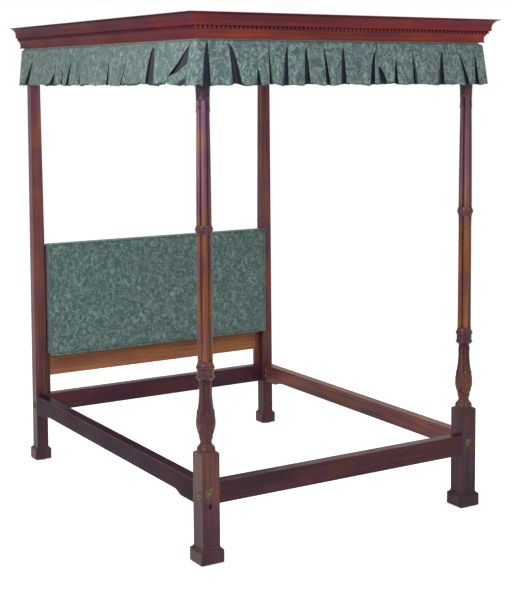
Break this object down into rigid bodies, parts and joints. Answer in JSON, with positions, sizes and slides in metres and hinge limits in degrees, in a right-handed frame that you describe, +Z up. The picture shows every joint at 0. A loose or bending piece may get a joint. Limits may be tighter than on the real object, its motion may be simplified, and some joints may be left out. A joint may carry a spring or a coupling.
{
  "type": "four-post tester bed",
  "caption": "Mahogany tester bed with carved foot posts, clustered shafts, dentil cornice, pleated skirt, padded headboard and swinging brass bolt covers.",
  "frame": {"origin": "on the floor, under the middle of the cornice's outline", "axes": "+X to the right seen from the foot, +Y from foot to head, +Z up"},
  "size_m": [1.699, 2.117, 2.422],
  "materials": {
    "mahogany": "satin",
    "mahogany_light": "satin",
    "softwood": "matte",
    "steel": "satin",
    "brass": "dull",
    "zinc": "dull",
    "teal_cloth": "woven",
    "sage_cloth": "woven",
    "tape": "woven"
  },
  "bodies": {
    "bed": {"foot_post_left": "mahogany", "foot_post_right": "mahogany", "head_post_left": "mahogany", "head_post_right": "mahogany", "foot_rail": "mahogany", "head_rail": "mahogany", "side_rail_left": "mahogany", "side_rail_right": "mahogany", "nut_plugs": "mahogany", "dentils_foot": "mahogany", "dentils_left": "mahogany", "dentils_right": "mahogany", "cornice_foot": "mahogany", "cornice_left": "mahogany", "cornice_right": "mahogany", "headboard_stile_left": "mahogany_light", "headboard_stile_right": "mahogany_light", "headboard_bottom_rail": "mahogany_light", "headboard_top_rail": "mahogany_light", "frieze_foot": "mahogany_light", "frieze_left": "mahogany_light", "frieze_right": "mahogany_light", "headboard_core": "softwood", "tester_board_foot": "softwood", "tester_board_head": "softwood", "tester_board_left": "softwood", "tester_board_right": "softwood", "glides": "steel", "bed_bolts": "steel", "bolt_nuts": "steel", "headboard_screws": "steel", "tester_pins": "steel", "cover_screws": "brass", "rail_screws": "zinc", "headboard_pad": "teal_cloth", "headboard_welt": "teal_cloth", "valance_foot": "sage_cloth", "valance_left": "sage_cloth", "valance_right": "sage_cloth", "valance_tapes": "tape"},
    "cover_foot_left_end": {"cover_foot_left_end": "brass"},
    "cover_foot_left_side": {"cover_foot_left_side": "brass"},
    "cover_foot_right_end": {"cover_foot_right_end": "brass"},
    "cover_foot_right_side": {"cover_foot_right_side": "brass"},
    "cover_head_left_end": {"cover_head_left_end": "brass"},
    "cover_head_left_side": {"cover_head_left_side": "brass"},
    "cover_head_right_end": {"cover_head_right_end": "brass"},
    "cover_head_right_side": {"cover_head_right_side": "brass"}
  },
  "joints": [
    {"name": "swing_foot_left_end", "type": "hinge", "parent": "bed", "child": "cover_foot_left_end", "pos_m": [-0.7375, -0.9855, 0.3425], "axis": [0, -1, 0], "continuous": true},
    {"name": "swing_foot_left_side", "type": "hinge", "parent": "bed", "child": "cover_foot_left_side", "pos_m": [-0.7765, -0.958, 0.3225], "axis": [-1, 0, 0], "continuous": true},
    {"name": "swing_foot_right_end", "type": "hinge", "parent": "bed", "child": "cover_foot_right_end", "pos_m": [0.7375, -0.9855, 0.3425], "axis": [0, -1, 0], "continuous": true},
    {"name": "swing_foot_right_side", "type": "hinge", "parent": "bed", "child": "cover_foot_right_side", "pos_m": [0.7765, -0.958, 0.3225], "axis": [1, 0, 0], "continuous": true},
    {"name": "swing_head_left_end", "type": "hinge", "parent": "bed", "child": "cover_head_left_end", "pos_m": [-0.7375, 1.0315, 0.3425], "axis": [0, 1, 0], "continuous": true},
    {"name": "swing_head_left_side", "type": "hinge", "parent": "bed", "child": "cover_head_left_side", "pos_m": [-0.7765, 1.004, 0.3225], "axis": [-1, 0, 0], "continuous": true},
    {"name": "swing_head_right_end", "type": "hinge", "parent": "bed", "child": "cover_head_right_end", "pos_m": [0.7375, 1.0315, 0.3425], "axis": [0, 1, 0], "continuous": true},
    {"name": "swing_head_right_side", "type": "hinge", "parent": "bed", "child": "cover_head_right_side", "pos_m": [0.7765, 1.004, 0.3225], "axis": [1, 0, 0], "continuous": true}
  ]
}
